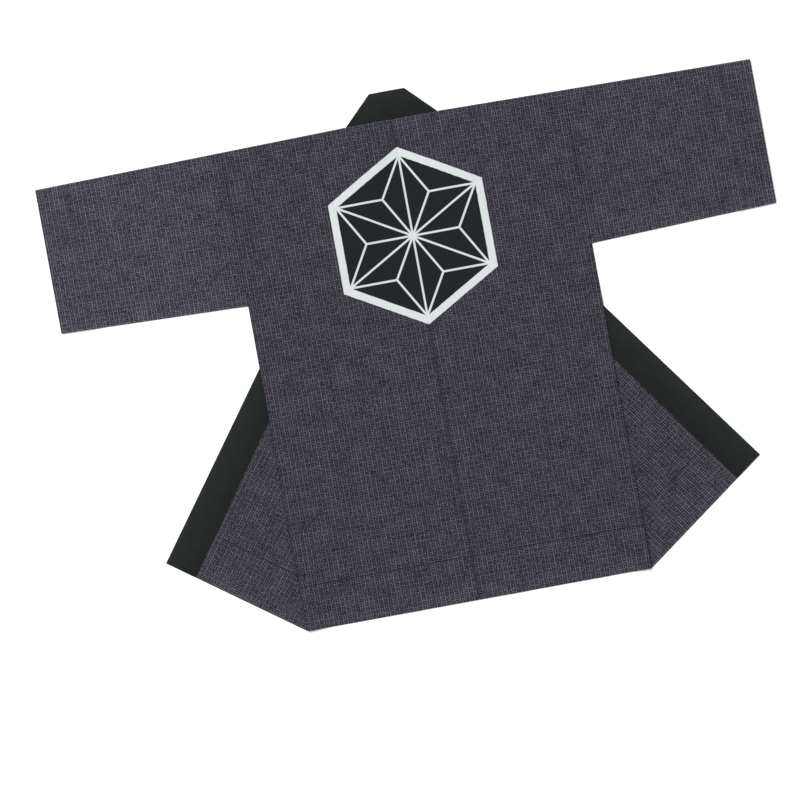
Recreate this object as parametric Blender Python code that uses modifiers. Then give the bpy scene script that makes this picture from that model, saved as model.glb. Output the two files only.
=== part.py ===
"""Hanten, a short Japanese work coat of checked cotton with a black band collar.

It lies flat on a table with its back up, the sleeves straight out, and each front turned
under and out, so that the front and its half of the collar show beside the back.

Each piece is cut flat as its maker cuts it, as a thin slab, and then folded in the order in
which the coat is sewn and laid: hem and cuffs turned in, lengths folded over the shoulder,
collar mitred round the neck, fronts turned out. Sizes are in millimetres and X, Y are seen
from above with the neck at Y = 0, until the last step turns them into metres.
"""

import math

import bmesh
import bpy
from mathutils import Vector

METRES = 0.001

# Driving dimensions of the laid coat.
BODY_LENGTH = 850.0      # shoulder fold to hem
HALF_BODY = 304.0        # centre back seam to armhole seam
HALF_SPAN = 632.0        # centre back seam to cuff edge
ARMHOLE_END = 275.0      # underarm, below the neck line
CUFF_END = 263.6         # lower end of the cuff, below the neck line
SHOULDER_SLOPE = 0.0175  # fall of the shoulder line from the neck to the cuff
NECK_HALF = 80.0         # centre back to the neck corner
FREE_EDGE = 30.5         # centre to the collar's free edge on an unturned front
COLLAR_FLARE = 8.0       # how much wider the collar is at the hem than at the neck
FRONT_TURN = math.radians(18.0)  # lean of the line that each front is turned out along
HEM_TURN = 80.0          # depth of the cloth turned up inside the hem
CUFF_TURN = 57.0         # depth of the cloth turned in at the cuff

# Thickness of the cloth and the gaps between pieces.
WALL = 1.0               # checked cotton
COLLAR_WALL = 2.0        # collar, a band of folded cloth
SEAM_GAP = 0.3           # between two pieces at a seam
LAYER_GAP = 0.4          # between cloth that lies on cloth
NECK_SNIP = 2.4          # half the snip in the body at the neck corner, which the mitre covers
TURN_EASE = 0.7          # extra room beside the collar seam where the turned-out fold crosses it
EASE_RUN = 12.0          # length over which the front's edge comes back to its seam

# How cloth comes down beside what it lies on.
EDGE_MARGIN = 4.0        # stays up for this far past an edge below it
RAMP = 36.0              # then comes down to the table over this length
SHORT_RAMP = 14.0        # over the small step at a hem or beside the collar
RAMP_CUTS = 4
SHORT_CUTS = 2

# Folds, each rounded over a narrow strip of the flat cloth.
STRIP = 3.2
STRIP_CUTS = 6

LEAF = WALL + LAYER_GAP
TURN_RADIUS = LEAF / 2.0
HEM_START = BODY_LENGTH - TURN_RADIUS - WALL / 2.0
CUFF_START = HALF_SPAN - TURN_RADIUS - WALL / 2.0
HEM_END = HEM_START + STRIP
HEM_FLAT_END = HEM_END + HEM_TURN
CUFF_FLAT_END = CUFF_START + STRIP + CUFF_TURN
SLEEVE_RUN = ARMHOLE_END
COLLAR_STAND = NECK_HALF - FREE_EDGE
HALF_GAP = SEAM_GAP / 2.0
MITRE_IN = (math.sqrt(0.5), math.sqrt(0.5))
FOLD_IN = (-math.cos(FRONT_TURN), -math.sin(FRONT_TURN))
MIDDLE_Y = (BODY_LENGTH - COLLAR_STAND) / 2.0

# Looks.
CHECK_BLACK = (0.056, 0.054, 0.062, 1.0)
CHECK_ROUGHNESS = 0.9
COLLAR_BLACK = (0.021, 0.026, 0.025, 1.0)
COLLAR_ROUGHNESS = 0.85

# Tolerances of the cuts and joins.
CUT_SNAP = 0.00001       # a corner this near a cut is on it
ON_CENTRE = 0.0001       # a face this near the centre back is open there
WELD = 0.00001           # in metres, where the collar's two halves meet
LEAST_SLANT = 0.1        # a line flatter than this doesn't cross a level fold


def clear_scene():
    for item in list(bpy.data.objects):
        bpy.data.objects.remove(item, do_unlink=True)


def cloth_material(name, colour, roughness):
    material = bpy.data.materials.new(name)
    material.use_nodes = True
    shader = material.node_tree.nodes["Principled BSDF"]
    shader.inputs["Base Color"].default_value = colour
    shader.inputs["Roughness"].default_value = roughness
    shader.inputs["Metallic"].default_value = 0.0
    return material


# Places on the laid coat, all on its right half.

def past_fold(x, y):
    """Distance past the line that the front is turned out along, towards the centre."""
    return (x - HALF_BODY) * FOLD_IN[0] + (y + BODY_LENGTH) * FOLD_IN[1]


def mirrored(x, y):
    """The same point of the front before and after it is turned out."""
    past = past_fold(x, y)
    return x - 2.0 * past * FOLD_IN[0], y - 2.0 * past * FOLD_IN[1]


def collar_seam(y):
    """Where the front meets the collar, on an unturned front."""
    return NECK_HALF - COLLAR_FLARE * y / BODY_LENGTH


def shoulder_line(x):
    return -SHOULDER_SLOPE * max(x - NECK_HALF, 0.0)


# Heights. Each layer lies on the one below it and comes down to the table beside it.

def falling(distance, ramp):
    """1 up to the margin past an edge, then smoothly down to 0 over the ramp."""
    part = min(max((distance - EDGE_MARGIN) / ramp, 0.0), 1.0)
    return 1.0 - part * part * (3.0 - 2.0 * part)


def hem_doubling(y):
    return falling(y + BODY_LENGTH - HEM_TURN, SHORT_RAMP)


def beside_collar(x):
    return falling(x - collar_seam(-BODY_LENGTH), SHORT_RAMP)


def thickness(x, y):
    """Front cloth with its turned hem, or the collar, whichever is thicker."""
    return max(COLLAR_WALL * beside_collar(x), WALL + LEAF * hem_doubling(y))


def front_bottom(x, y):
    """Underside of the front that stays under the back, over the part turned out below it."""
    turned_x, turned_y = mirrored(x, y)
    lying_on_flap = falling(FREE_EDGE - turned_x, RAMP)
    return lying_on_flap * (thickness(turned_x, turned_y) + LAYER_GAP)


def back_bottom(x, y):
    """Underside of the back, over the front, and down on the table between the fronts."""
    lying_on_front = falling(past_fold(x, y), RAMP)
    return lying_on_front * (front_bottom(x, y) + thickness(x, y) + LAYER_GAP)


def back_middle(x, y):
    return back_bottom(x, y) + WALL / 2.0 + LEAF * hem_doubling(y)


def sewn_lift(x):
    """The front is sewn into the middle of the thicker collar, so it rises to meet it."""
    return (COLLAR_WALL - WALL) / 2.0 * beside_collar(x)


def front_middle(x, y):
    return front_bottom(x, y) + WALL / 2.0 + sewn_lift(x)


def flap_middle(x, y):
    return WALL / 2.0 + max(sewn_lift(x), LEAF * hem_doubling(y))


def stand_middle(x, y):
    return back_bottom(x, y) + COLLAR_WALL / 2.0


def collar_front_middle(x, y):
    return front_bottom(x, y) + COLLAR_WALL / 2.0


def collar_flap_middle(x, y):
    return COLLAR_WALL / 2.0


# Folds. A point of the flat cloth has a place on it and an offset towards its outside.

def half_turn(distance, offset, radius):
    """Carry a point round a fold: how far it goes on past the fold's start, and its height."""
    angle = math.pi * min(max(distance / STRIP, 0.0), 1.0)
    before = min(distance, 0.0)
    after = max(distance - STRIP, 0.0)
    advance = before + (radius + offset) * math.sin(angle) - after
    return advance, (radius + offset) * math.cos(angle) - radius


def folded_under(x, y, up, past, inward, high_middle, low_middle):
    """Fold a point under along a straight line that it lies past by the given distance."""
    start = past + STRIP / 2.0
    if start <= 0.0:
        return x, y, high_middle(x, y) + up
    foot_x = x - inward[0] * past
    foot_y = y - inward[1] * past
    high = high_middle(foot_x, foot_y)
    radius = (high - low_middle(foot_x, foot_y)) / 2.0
    advance, rise = half_turn(start, up, radius)
    shift = advance - STRIP / 2.0 - past
    height = high + rise if start < STRIP else low_middle(x, y) - up
    return x + inward[0] * shift, y + inward[1] * shift, height


def front_turned_out(x, y, up, high_middle, low_middle):
    return folded_under(x, y, up, past_fold(x, y), FOLD_IN, high_middle, low_middle)


def body_point(flat_x, flat_y, out):
    """One length of the body: back below 0, the shoulder fold, then the front."""
    run = max(-flat_y, flat_y - STRIP, 0.0)
    advance, out = half_turn(run - HEM_START, out, TURN_RADIUS)
    run = HEM_START + advance
    top_x = max(flat_x, NECK_HALF)
    top = shoulder_line(top_x)
    high = back_middle(top_x, top)
    radius = (high - front_middle(top_x, top)) / 2.0
    start = top - radius - WALL / 2.0
    y = start - run * (BODY_LENGTH + start) / BODY_LENGTH
    if flat_y <= 0.0:
        return flat_x, y, back_middle(flat_x, y) + out
    if flat_x < NECK_HALF:
        y = start + flat_y
        return flat_x, y, back_middle(flat_x, y) + out
    if flat_y < STRIP:
        advance, rise = half_turn(flat_y, out, radius)
        return flat_x, start + advance, high + rise
    return front_turned_out(flat_x, y, -out, front_middle, flap_middle)


def sleeve_point(flat_x, flat_y, out):
    """A sleeve: its back below 0, the fold along its top, then its front on the table."""
    advance, out = half_turn(flat_x - CUFF_START, out, TURN_RADIUS)
    x = CUFF_START + advance
    doubled = falling(HALF_SPAN - CUFF_TURN - x, SHORT_RAMP)
    radius = TURN_RADIUS * (1.0 + 2.0 * doubled)
    start = shoulder_line(x) - radius - WALL / 2.0
    along = (x - HALF_BODY) / (HALF_SPAN - HALF_BODY)
    bottom = -ARMHOLE_END + (ARMHOLE_END - CUFF_END) * along
    run = max(-flat_y, flat_y - STRIP, 0.0)
    y = start + run * (bottom - start) / SLEEVE_RUN
    low = WALL / 2.0
    high = low + 2.0 * radius
    if flat_y <= 0.0:
        return x, y, high + out
    if flat_y < STRIP:
        advance, rise = half_turn(flat_y, out, radius)
        return x, start + advance, high + rise
    return x, y, low - out


def collar_point(flat_x, flat_y, out):
    """Half of the collar band: the stand behind the neck, the mitre, then down the front."""
    past = (flat_x - NECK_HALF) * MITRE_IN[0] + flat_y * MITRE_IN[1]
    x, y, z = folded_under(
        flat_x, flat_y, out, past, MITRE_IN, stand_middle, collar_front_middle)
    if past < STRIP / 2.0:
        return x, y, z
    return front_turned_out(x, y, -out, collar_front_middle, collar_flap_middle)


# Straight cuts that let a flat piece bend, as rows of x, y, normal x, normal y.

def spread(first, length, count):
    return [first + length * step / count for step in range(count + 1)]


def mirrored_line(x, y, normal_x, normal_y):
    """The same line of the front before and after it is turned out."""
    across = normal_x * FOLD_IN[0] + normal_y * FOLD_IN[1]
    turned_x = normal_x - 2.0 * across * FOLD_IN[0]
    turned_y = normal_y - 2.0 * across * FOLD_IN[1]
    return (*mirrored(x, y), turned_x, turned_y)


def fold_cuts(distances):
    """Lines along the front's fold, at the given distances past it."""
    rows = []
    for past in distances:
        x = HALF_BODY + FOLD_IN[0] * past
        y = -BODY_LENGTH + FOLD_IN[1] * past
        rows.append((x, y, *FOLD_IN))
    return rows


def free_edge_cuts():
    """Lines along the collar's free edge where it is turned out, beyond that edge."""
    edges = spread(EDGE_MARGIN, RAMP, RAMP_CUTS)
    return [mirrored_line(FREE_EDGE - past, -BODY_LENGTH, 1.0, 0.0) for past in edges]


def collar_seam_cuts():
    """Lines beside the collar seam, on the front and where it is turned out."""
    seam = collar_seam(-BODY_LENGTH)
    rows = [(seam + past, 0.0, 1.0, 0.0) for past in spread(EDGE_MARGIN, SHORT_RAMP, SHORT_CUTS)]
    return rows + [mirrored_line(*row) for row in rows]


def hem_cuts():
    """Lines above the turned-up hem."""
    top = HEM_TURN - BODY_LENGTH
    return [(0.0, top + past, 0.0, 1.0) for past in spread(EDGE_MARGIN, SHORT_RAMP, SHORT_CUTS)]


def upright_cuts(rows, y):
    """The same cuts where they cross a fold that runs along the given Y."""
    return [
        (x - (y - at_y) * normal_y / normal_x, 0.0, 1.0, 0.0)
        for x, at_y, normal_x, normal_y in rows
        if abs(normal_x) > LEAST_SLANT
    ]


# Where a place on the laid coat lies on the flat cloth, for each stretch of it.

def in_place(x, y):
    return x, y


def on_back_leaf(x, y):
    return x, -HEM_START - HEM_END - y


def on_front(x, y):
    return x, STRIP - y


def on_front_leaf(x, y):
    return x, STRIP + HEM_START + HEM_END + y


def on_collar_front(x, y):
    return NECK_HALF - y, NECK_HALF - x


def everywhere(at):
    return True


def between(low, high, inner=0.0, outer=HALF_BODY):
    """Whether a point of the flat cloth lies between two Y and two X."""
    return lambda at: low < at.y < high and inner < at.x < outer


def flat_sheet(outline):
    mesh = bmesh.new()
    mesh.faces.new([mesh.verts.new((x, y, 0.0)) for x, y in outline])
    return mesh


def cut(mesh, rows, inside, to_flat):
    """Cut the faces that lie inside a stretch of the flat piece along the given rows."""
    for x, y, normal_x, normal_y in rows:
        faces = [face for face in mesh.faces if inside(face.calc_center_median())]
        edges = {edge for face in faces for edge in face.edges}
        corners = {corner for face in faces for corner in face.verts}
        start = Vector(to_flat(x, y))
        ahead = Vector(to_flat(x + normal_x, y + normal_y))
        bmesh.ops.bisect_plane(
            mesh,
            geom=faces + list(edges) + list(corners),
            dist=CUT_SNAP,
            plane_co=(start.x, start.y, 0.0),
            plane_no=(ahead.x - start.x, ahead.y - start.y, 0.0),
        )


def thickened(mesh, wall):
    """Give the flat sheet its wall, half to each side of the middle."""
    bmesh.ops.triangulate(mesh, faces=mesh.faces[:], ngon_method="BEAUTY")
    bmesh.ops.solidify(mesh, geom=mesh.faces[:], thickness=wall)
    lowest = min(corner.co.z for corner in mesh.verts)
    for corner in mesh.verts:
        corner.co.z += -lowest - wall / 2.0
    bmesh.ops.recalc_face_normals(mesh, faces=mesh.faces[:])


def folded(mesh, fold, side):
    """Fold the flat slab with the piece's own rule, on the right or the left of the coat."""
    for corner in mesh.verts:
        x, y, z = fold(*corner.co)
        corner.co = Vector((side * x, y, z)) * METRES
    if side < 0:
        bmesh.ops.reverse_faces(mesh, faces=mesh.faces[:])


def add_piece(mesh, name, material, parent, collection):
    data = bpy.data.meshes.new(name)
    mesh.to_mesh(data)
    mesh.free()
    data.materials.append(material)
    piece = bpy.data.objects.new(name, data)
    piece.parent = parent
    collection.objects.link(piece)
    return piece


def body_sheet():
    """A body length cut flat, its cuts, and the slit for the neck."""
    inner = HALF_GAP
    outer = HALF_BODY - HALF_GAP
    top = shoulder_line(NECK_HALF)
    radius = (back_middle(NECK_HALF, top) - front_middle(NECK_HALF, top)) / 2.0
    neck_rise = radius + WALL / 2.0 - HALF_GAP
    hem_seam = collar_seam(-BODY_LENGTH) + HALF_GAP
    crossing = (HALF_BODY - collar_seam(0.0)) / math.tan(FRONT_TURN) - BODY_LENGTH
    eased_edge = []
    for runs, ease in ((-2.0, 0.0), (-1.0, TURN_EASE), (1.0, TURN_EASE), (2.0, 0.0)):
        y = crossing + runs * EASE_RUN
        eased_edge.append((collar_seam(y) + HALF_GAP + ease, STRIP - y))
    mesh = flat_sheet([
        (inner, -HEM_FLAT_END),
        (outer, -HEM_FLAT_END),
        (outer, STRIP + HEM_FLAT_END),
        (hem_seam, STRIP + HEM_FLAT_END),
        (hem_seam, STRIP + HEM_START),
        *eased_edge,
        (collar_seam(-EASE_RUN) + HALF_GAP, STRIP + EASE_RUN),
        (NECK_HALF + NECK_SNIP, STRIP),
        (NECK_HALF + NECK_SNIP, -NECK_SNIP),
        (NECK_HALF - NECK_SNIP, -NECK_SNIP),
        (NECK_HALF - NECK_SNIP, neck_rise),
        (inner, neck_rise),
    ])
    ramp_in = fold_cuts(spread(EDGE_MARGIN, RAMP, RAMP_CUTS))
    bend = fold_cuts(spread(-STRIP / 2.0, STRIP, STRIP_CUTS))
    drape = free_edge_cuts() + collar_seam_cuts() + hem_cuts()
    drape += [mirrored_line(*row) for row in hem_cuts()]
    folds = spread(0.0, STRIP, STRIP_CUTS)
    starts = folds + [-HEM_START - y for y in folds] + [STRIP + HEM_START + y for y in folds]
    cut(mesh, [(0.0, y, 0.0, 1.0) for y in starts], everywhere, in_place)
    back_rows = ramp_in + drape
    front_rows = bend + drape
    front_hem = STRIP + HEM_START
    stretches = (
        # stretch of the flat cloth, where its places lie, cuts
        (between(-HEM_START, 0.0), in_place, back_rows),
        (between(0.0, STRIP, outer=NECK_HALF), in_place, back_rows),
        (between(-HEM_END, -HEM_START), in_place, upright_cuts(back_rows, -BODY_LENGTH)),
        (between(-HEM_FLAT_END, -HEM_END), on_back_leaf, back_rows),
        (between(0.0, STRIP, inner=NECK_HALF), in_place, upright_cuts(drape, 0.0)),
        (between(STRIP, front_hem), on_front, front_rows),
        (between(front_hem, STRIP + HEM_END), in_place, upright_cuts(front_rows, -BODY_LENGTH)),
        (between(STRIP + HEM_END, STRIP + HEM_FLAT_END), on_front_leaf, front_rows),
    )
    for inside, to_flat, rows in stretches:
        cut(mesh, rows, inside, to_flat)
    return mesh


def sleeve_sheet():
    """A sleeve cut flat, one piece from seam to seam round the arm."""
    inner = HALF_BODY + HALF_GAP
    mesh = flat_sheet([
        (inner, -SLEEVE_RUN),
        (CUFF_FLAT_END, -SLEEVE_RUN),
        (CUFF_FLAT_END, STRIP + SLEEVE_RUN),
        (inner, STRIP + SLEEVE_RUN),
    ])
    top_fold = [(0.0, y, 0.0, 1.0) for y in spread(0.0, STRIP, STRIP_CUTS)]
    cuff_fold = [(x, 0.0, 1.0, 0.0) for x in spread(CUFF_START, STRIP, STRIP_CUTS)]
    doubled_from = HALF_SPAN - CUFF_TURN - EDGE_MARGIN - SHORT_RAMP
    step = [(x, 0.0, 1.0, 0.0) for x in spread(doubled_from, SHORT_RAMP, SHORT_CUTS)]
    cut(mesh, top_fold + cuff_fold + step, everywhere, in_place)
    return mesh


def collar_sheet():
    """Half of the collar band cut flat, open at the centre back."""
    seam_end = NECK_HALF - collar_seam(-BODY_LENGTH)
    end = NECK_HALF + BODY_LENGTH
    mesh = flat_sheet([
        (0.0, HALF_GAP),
        (NECK_HALF, HALF_GAP),
        (end, seam_end + HALF_GAP),
        (end, COLLAR_STAND),
        (0.0, COLLAR_STAND),
    ])
    mitre = [
        (NECK_HALF + MITRE_IN[0] * past, MITRE_IN[1] * past, *MITRE_IN)
        for past in spread(-STRIP / 2.0, STRIP, STRIP_CUTS)
    ]
    cut(mesh, mitre, everywhere, in_place)
    stand_rows = fold_cuts(spread(EDGE_MARGIN, RAMP, RAMP_CUTS)) + free_edge_cuts()
    front_rows = fold_cuts(spread(-STRIP / 2.0, STRIP, STRIP_CUTS)) + free_edge_cuts()
    half_mitre = STRIP * MITRE_IN[0]
    cut(mesh, stand_rows, lambda at: at.x + at.y < NECK_HALF - half_mitre, in_place)
    cut(mesh, front_rows, lambda at: at.x + at.y > NECK_HALF + half_mitre, on_collar_front)
    return mesh


def add_body(side, name, material, parent, collection):
    mesh = body_sheet()
    thickened(mesh, WALL)
    folded(mesh, body_point, side)
    return add_piece(mesh, name, material, parent, collection)


def add_sleeve(side, name, material, parent, collection):
    mesh = sleeve_sheet()
    thickened(mesh, WALL)
    folded(mesh, sleeve_point, side)
    return add_piece(mesh, name, material, parent, collection)


def add_collar(name, material, parent, collection):
    mesh = collar_sheet()
    thickened(mesh, COLLAR_WALL)
    open_end = [
        face for face in mesh.faces if all(abs(corner.co.x) < ON_CENTRE for corner in face.verts)]
    bmesh.ops.delete(mesh, geom=open_end, context="FACES_ONLY")
    folded(mesh, collar_point, 1.0)
    piece = add_piece(mesh, name, material, parent, collection)
    mirror = piece.modifiers.new("other half", "MIRROR")
    mirror.use_axis = (True, False, False)
    mirror.use_mirror_merge = True
    mirror.merge_threshold = WELD
    return piece


def build():
    clear_scene()
    collection = bpy.data.collections.new("hanten")
    bpy.context.scene.collection.children.link(collection)
    coat = bpy.data.objects.new("hanten_laid_out", None)
    coat.location = (0.0, MIDDLE_Y * METRES, 0.0)
    collection.objects.link(coat)
    checked = cloth_material("checked_cotton", CHECK_BLACK, CHECK_ROUGHNESS)
    black = cloth_material("black_collar_cotton", COLLAR_BLACK, COLLAR_ROUGHNESS)
    for side, word in ((-1.0, "left"), (1.0, "right")):
        add_body(side, "body_" + word, checked, coat, collection)
        add_sleeve(side, "sleeve_" + word, checked, coat, collection)
    add_collar("collar", black, coat, collection)


build()
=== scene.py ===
# %% [markdown]
# A hanten, the short work coat of Japanese craftsmen and festival crews, laid flat with its
# back up. Its cloth is a dark cotton with a small basket check, its collar a band of plain
# black cotton, and its fronts are turned under and out to each side.
# The solids of the coat come from the frame. This script dresses them: thin cloth in place of
# the plain walls, the woven check, the printed badge, the seams, stitches and soft creases.

# %% Load the frame and keep its box
import math

import bmesh
import bpy
import numpy as np
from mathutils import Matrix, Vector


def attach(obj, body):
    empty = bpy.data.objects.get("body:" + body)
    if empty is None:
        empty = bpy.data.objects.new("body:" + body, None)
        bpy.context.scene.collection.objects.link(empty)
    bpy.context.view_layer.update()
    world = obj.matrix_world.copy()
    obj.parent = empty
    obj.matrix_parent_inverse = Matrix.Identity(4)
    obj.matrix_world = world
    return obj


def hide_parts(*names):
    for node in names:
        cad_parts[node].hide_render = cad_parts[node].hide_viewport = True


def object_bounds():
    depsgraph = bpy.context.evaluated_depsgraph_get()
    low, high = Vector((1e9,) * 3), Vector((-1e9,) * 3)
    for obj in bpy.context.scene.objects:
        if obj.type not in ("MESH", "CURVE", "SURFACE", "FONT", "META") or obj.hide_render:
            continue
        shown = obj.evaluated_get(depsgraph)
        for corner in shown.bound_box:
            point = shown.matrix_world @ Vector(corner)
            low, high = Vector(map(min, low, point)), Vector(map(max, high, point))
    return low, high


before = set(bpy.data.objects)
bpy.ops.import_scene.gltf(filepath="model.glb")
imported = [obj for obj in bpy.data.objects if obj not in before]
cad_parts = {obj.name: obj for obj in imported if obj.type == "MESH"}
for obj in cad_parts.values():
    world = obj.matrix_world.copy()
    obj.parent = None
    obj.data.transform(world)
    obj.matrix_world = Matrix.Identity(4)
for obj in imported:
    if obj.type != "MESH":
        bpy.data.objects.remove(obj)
cad_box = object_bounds()
print("solids:", ", ".join(sorted(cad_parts)))

# %% [markdown]
# The coat is cut from straight lengths of narrow cloth, so a few sizes describe all of it.
# They are in millimetres, with the neck at Y = 0 and the back seam at X = 0. The frame gives
# the size that they have to add up to.

# %% Sizes of the coat
MM = 0.001
BODY_LENGTH = 850.0      # shoulder fold to hem
HALF_BODY = 304.0        # centre back seam to armhole seam
HALF_SPAN = 632.0        # centre back seam to cuff edge
ARMHOLE_END = 275.0      # underarm, below the neck line
CUFF_END = 263.6         # lower end of the cuff, below the neck line
SHOULDER_SLOPE = 0.0175  # fall of the shoulder line from the neck to the cuff
NECK_HALF = 80.0         # centre back to the neck corner
FREE_EDGE = 30.5         # centre to the collar's free edge on an unturned front
COLLAR_FLARE = 8.0       # how much wider the collar is at the hem than at the neck
FRONT_TURN = math.radians(18.0)
HEM_TURN = 80.0
CUFF_TURN = 57.0
HEM_SEAM = 772.0         # where the turned-up hem is stitched, from the shoulder fold
CUFF_SEAM = 578.0        # where the cuff is stitched, from the centre back
WALL = 1.0               # room that each layer of cloth takes in the solids
COLLAR_WALL = 2.0
HALF_GAP = 0.03          # sewn edges all but touch
LAYER_GAP = 0.4
EDGE_MARGIN = 4.0        # a layer stays up this far past the edge under it
RAMP = 36.0              # and comes down over this much, or over the short ramp at a hem
SHORT_RAMP = 14.0
STRIP = 3.2              # flat cloth that goes round a fold
NECK_SNIP = 1.2          # the body's cut stops this far from the neck corner, under the mitre
CLEARANCE = 0.02         # least room between the cloth and the table
SIDES = ((-1.0, "left"), (1.0, "right"))

LEAF = WALL + LAYER_GAP
TURN_RADIUS = LEAF / 2.0
HEM_START = BODY_LENGTH - TURN_RADIUS - WALL / 2.0
CUFF_START = HALF_SPAN - TURN_RADIUS - WALL / 2.0
COLLAR_STAND = NECK_HALF - FREE_EDGE
COLLAR_AT_HEM = COLLAR_STAND + COLLAR_FLARE
MITRE_IN = (math.sqrt(0.5), math.sqrt(0.5))
FOLD_IN = (-math.cos(FRONT_TURN), -math.sin(FRONT_TURN))
NECK_Y = (BODY_LENGTH - COLLAR_STAND) / 2.0

low, high = (np.array(corner) / MM for corner in cad_box)
print("frame is", np.round(high - low, 1), "mm; span", 2 * HALF_SPAN)
print("length with the collar", BODY_LENGTH + COLLAR_STAND, "mm")

# %% [markdown]
# Cloth that lies on cloth rises over what is under it and comes down beside it. Each layer's
# height is a smooth step, 1 over the edge below and 0 on the table: 1 - 3p^2 + 2p^3, where p
# runs from 0 to 1 across the ramp. Numpy works out whole sheets of points at once.

# %% Heights of the layers
def falling(distance, ramp):
    """1 up to the margin past an edge, then 1 - 3p^2 + 2p^3 down to 0 over the ramp."""
    part = np.clip((distance - EDGE_MARGIN) / ramp, 0.0, 1.0)
    return 1.0 - part * part * (3.0 - 2.0 * part)


def bell(distance, width):
    """exp(-(distance / width)^2), for what swells or sinks along a line."""
    return np.exp(-((distance / width) ** 2))


def past_fold(x, y):
    """Distance past the line that the front is turned out along: (p - corner) . inward."""
    return (x - HALF_BODY) * FOLD_IN[0] + (y + BODY_LENGTH) * FOLD_IN[1]


def collar_seam(y):
    return NECK_HALF - COLLAR_FLARE * y / BODY_LENGTH


def shoulder_line(x):
    return -SHOULDER_SLOPE * np.maximum(x - NECK_HALF, 0.0)


def hem_doubling(y):
    return falling(y + BODY_LENGTH - HEM_TURN, SHORT_RAMP)


def beside_collar(x):
    return falling(x - collar_seam(-BODY_LENGTH), SHORT_RAMP)


def thickness(x, y):
    return np.maximum(COLLAR_WALL * beside_collar(x), WALL + LEAF * hem_doubling(y))


def front_bottom(x, y):
    """Underside of the front over its turned-out part, whose point there is the mirror image."""
    past = past_fold(x, y)
    turned_x = x - 2.0 * past * FOLD_IN[0]
    turned_y = y - 2.0 * past * FOLD_IN[1]
    return falling(FREE_EDGE - turned_x, RAMP) * (thickness(turned_x, turned_y) + LAYER_GAP)


def back_bottom(x, y):
    return falling(past_fold(x, y), RAMP) * (front_bottom(x, y) + thickness(x, y) + LAYER_GAP)


def sewn_lift(x):
    return (COLLAR_WALL - WALL) / 2.0 * beside_collar(x)


def back_middle(x, y):
    return back_bottom(x, y) + WALL / 2.0 + LEAF * hem_doubling(y)


def front_middle(x, y):
    return front_bottom(x, y) + WALL / 2.0 + sewn_lift(x)


def flap_middle(x, y):
    return WALL / 2.0 + np.maximum(sewn_lift(x), LEAF * hem_doubling(y))


def stand_middle(x, y):
    return back_bottom(x, y) + COLLAR_WALL / 2.0


def collar_front_middle(x, y):
    return front_bottom(x, y) + COLLAR_WALL / 2.0


def collar_flap_middle(x, y):
    return COLLAR_WALL / 2.0 + 0.0 * x


print("back at the side seam lies", round(float(back_middle(HALF_BODY, -600.0)), 2), "mm up")

# %% [markdown]
# Paper folding gives the shape: a flat piece is carried round each fold in turn. A fold is half
# a turn of a small cylinder, so a point that lies past its start by s goes round by the angle
# pi s / strip and comes out upside down on the other side, as far back as it was ahead.
# Each point also has an offset towards the cloth's outside, so both faces of the cloth come
# from one formula and never cross.

# %% Folds
def from_shoulder(flat_y):
    """Flat distance from the fold over the shoulder, or over the arm, down either side."""
    return np.maximum(-flat_y, flat_y - STRIP)


def half_turn(distance, offset, radius):
    """Advance = before + (r + o) sin a - after, rise = (r + o) cos a - r, with a from 0 to pi."""
    angle = np.pi * np.clip(distance / STRIP, 0.0, 1.0)
    before = np.minimum(distance, 0.0)
    after = np.maximum(distance - STRIP, 0.0)
    reach = radius + offset
    return before + reach * np.sin(angle) - after, reach * np.cos(angle) - radius


def folded_under(x, y, up, past, inward, high_middle, low_middle):
    """Points folded under along a line; heights at the fold come from its nearest point."""
    start = past + STRIP / 2.0
    foot_x, foot_y = x - inward[0] * past, y - inward[1] * past
    fold_high = high_middle(foot_x, foot_y)
    radius = (fold_high - low_middle(foot_x, foot_y)) / 2.0
    advance, rise = half_turn(start, up, radius)
    shift = advance - STRIP / 2.0 - past
    height = np.where(start < STRIP, fold_high + rise, low_middle(x, y) - up)
    height = np.where(start <= 0.0, high_middle(x, y) + up, height)
    shift = np.where(start <= 0.0, 0.0, shift)
    return np.stack([x + inward[0] * shift, y + inward[1] * shift, height], -1)


def shoulder_fold(x):
    """Height, radius and start of the fold over the shoulder, above the same X of the neck."""
    top = shoulder_line(x)
    fold_high = back_middle(x, top)
    radius = (fold_high - front_middle(x, top)) / 2.0
    return fold_high, radius, top - radius - WALL / 2.0


def body_points(flat_x, flat_y, out):
    """Body length: back where flat_y < 0, then over the shoulder, then the front, turned out.

    Behind the neck nothing goes over the shoulder, and the back runs on to the collar.
    """
    run = np.maximum(from_shoulder(flat_y), 0.0)
    advance, out = half_turn(run - HEM_START, out, TURN_RADIUS)
    run = HEM_START + advance
    fold_high, radius, start = shoulder_fold(np.maximum(flat_x, NECK_HALF))
    y = start - run * (BODY_LENGTH + start) / BODY_LENGTH
    y = np.where((flat_y > 0.0) & (flat_x < NECK_HALF), start + flat_y, y)
    back = np.stack([flat_x, y, back_middle(flat_x, y) + out], -1)
    advance, rise = half_turn(flat_y, out, radius)
    shoulder = np.stack([flat_x, start + advance, fold_high + rise], -1)
    past = past_fold(flat_x, y)
    front = folded_under(flat_x, y, -out, past, FOLD_IN, front_middle, flap_middle)
    on_back = (flat_y <= 0.0) | (flat_x < NECK_HALF)
    over = np.where(flat_y[..., None] < STRIP, shoulder, front)
    return np.where(on_back[..., None], back, over)


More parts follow.
